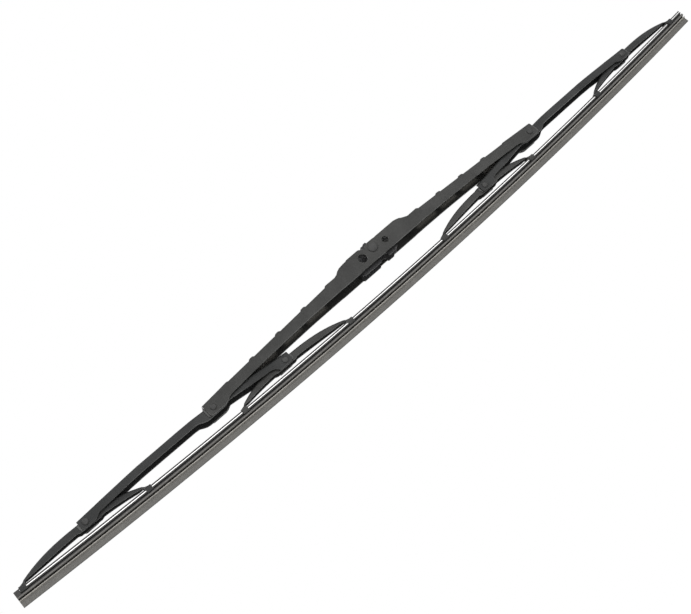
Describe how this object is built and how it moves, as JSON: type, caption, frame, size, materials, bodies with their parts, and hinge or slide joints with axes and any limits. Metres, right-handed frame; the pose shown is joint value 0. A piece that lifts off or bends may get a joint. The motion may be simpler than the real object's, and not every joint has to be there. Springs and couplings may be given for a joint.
{
  "type": "wiper blade",
  "caption": "Framed wiper blade: a main bridge with a raised centre, pivoting levers and claws that hold a long rubber element, and a hook adapter",
  "frame": {"origin": "the axis of the cross pin that the arm's hook adapter turns on, in the blade's middle plane", "axes": "+X along the blade to its right end, +Y across it towards the back, +Z away from the glass"},
  "size_m": [0.6018, 0.0172, 0.0422],
  "materials": {
    "frame_paint": "satin black powder coat on pressed steel",
    "pin_paint": "satin black over upset steel heads",
    "adapter_plastic": "moulded black with a fine grain",
    "liner_plastic": "smooth dark moulding",
    "blade_rubber": "graphited extruded rubber",
    "rail_steel": "bright rolled spring steel"
  },
  "bodies": {
    "main_bridge_body": {"primary_bridge": "frame_paint", "cross_pin": "pin_paint", "left_main_rivet": "pin_paint", "right_main_rivet": "pin_paint", "left_main_liner": "liner_plastic", "right_main_liner": "liner_plastic", "rubber_element": "blade_rubber", "front_rail": "rail_steel", "back_rail": "rail_steel"},
    "adapter_body": {"hook_adapter": "adapter_plastic"},
    "left_secondary_body": {"left_secondary_bridge": "frame_paint", "left_outer_rivet": "pin_paint", "left_inner_rivet": "pin_paint", "left_outer_liner": "liner_plastic", "left_inner_liner": "liner_plastic"},
    "left_outer_yoke_body": {"left_outer_yoke": "frame_paint"},
    "left_inner_yoke_body": {"left_inner_yoke": "frame_paint"},
    "right_secondary_body": {"right_secondary_bridge": "frame_paint", "right_outer_rivet": "pin_paint", "right_inner_rivet": "pin_paint", "right_outer_liner": "liner_plastic", "right_inner_liner": "liner_plastic"},
    "right_outer_yoke_body": {"right_outer_yoke": "frame_paint"},
    "right_inner_yoke_body": {"right_inner_yoke": "frame_paint"}
  },
  "joints": [
    {"name": "adapter_pivot", "type": "hinge", "parent": "main_bridge_body", "child": "adapter_body", "pos_m": [0, 0, 0], "axis": [0, 1, 0], "range_deg": [-20, 20]},
    {"name": "left_main_pivot", "type": "hinge", "parent": "main_bridge_body", "child": "left_secondary_body", "pos_m": [-0.1461, 0, -0.0104], "axis": [0, 1, 0], "range_deg": [-3, 3], "deforming": ["rubber_element", "front_rail", "back_rail"]},
    {"name": "left_outer_pivot", "type": "hinge", "parent": "left_secondary_body", "child": "left_outer_yoke_body", "pos_m": [-0.2448, 0, -0.01127], "axis": [0, 1, 0], "range_deg": [-6, 6], "deforming": ["rubber_element", "front_rail", "back_rail"]},
    {"name": "left_inner_pivot", "type": "hinge", "parent": "left_secondary_body", "child": "left_inner_yoke_body", "pos_m": [-0.0936, 0, -0.01724], "axis": [0, 1, 0], "range_deg": [-6, 6], "deforming": ["rubber_element", "front_rail", "back_rail"]},
    {"name": "right_main_pivot", "type": "hinge", "parent": "main_bridge_body", "child": "right_secondary_body", "pos_m": [0.1413, 0, -0.0104], "axis": [0, 1, 0], "range_deg": [-3, 3], "deforming": ["rubber_element", "front_rail", "back_rail"]},
    {"name": "right_outer_pivot", "type": "hinge", "parent": "right_secondary_body", "child": "right_outer_yoke_body", "pos_m": [0.24, 0, -0.01127], "axis": [0, 1, 0], "range_deg": [-6, 6], "deforming": ["rubber_element", "front_rail", "back_rail"]},
    {"name": "right_inner_pivot", "type": "hinge", "parent": "right_secondary_body", "child": "right_inner_yoke_body", "pos_m": [0.0888, 0, -0.01724], "axis": [0, 1, 0], "range_deg": [-6, 6], "deforming": ["rubber_element", "front_rail", "back_rail"]}
  ]
}
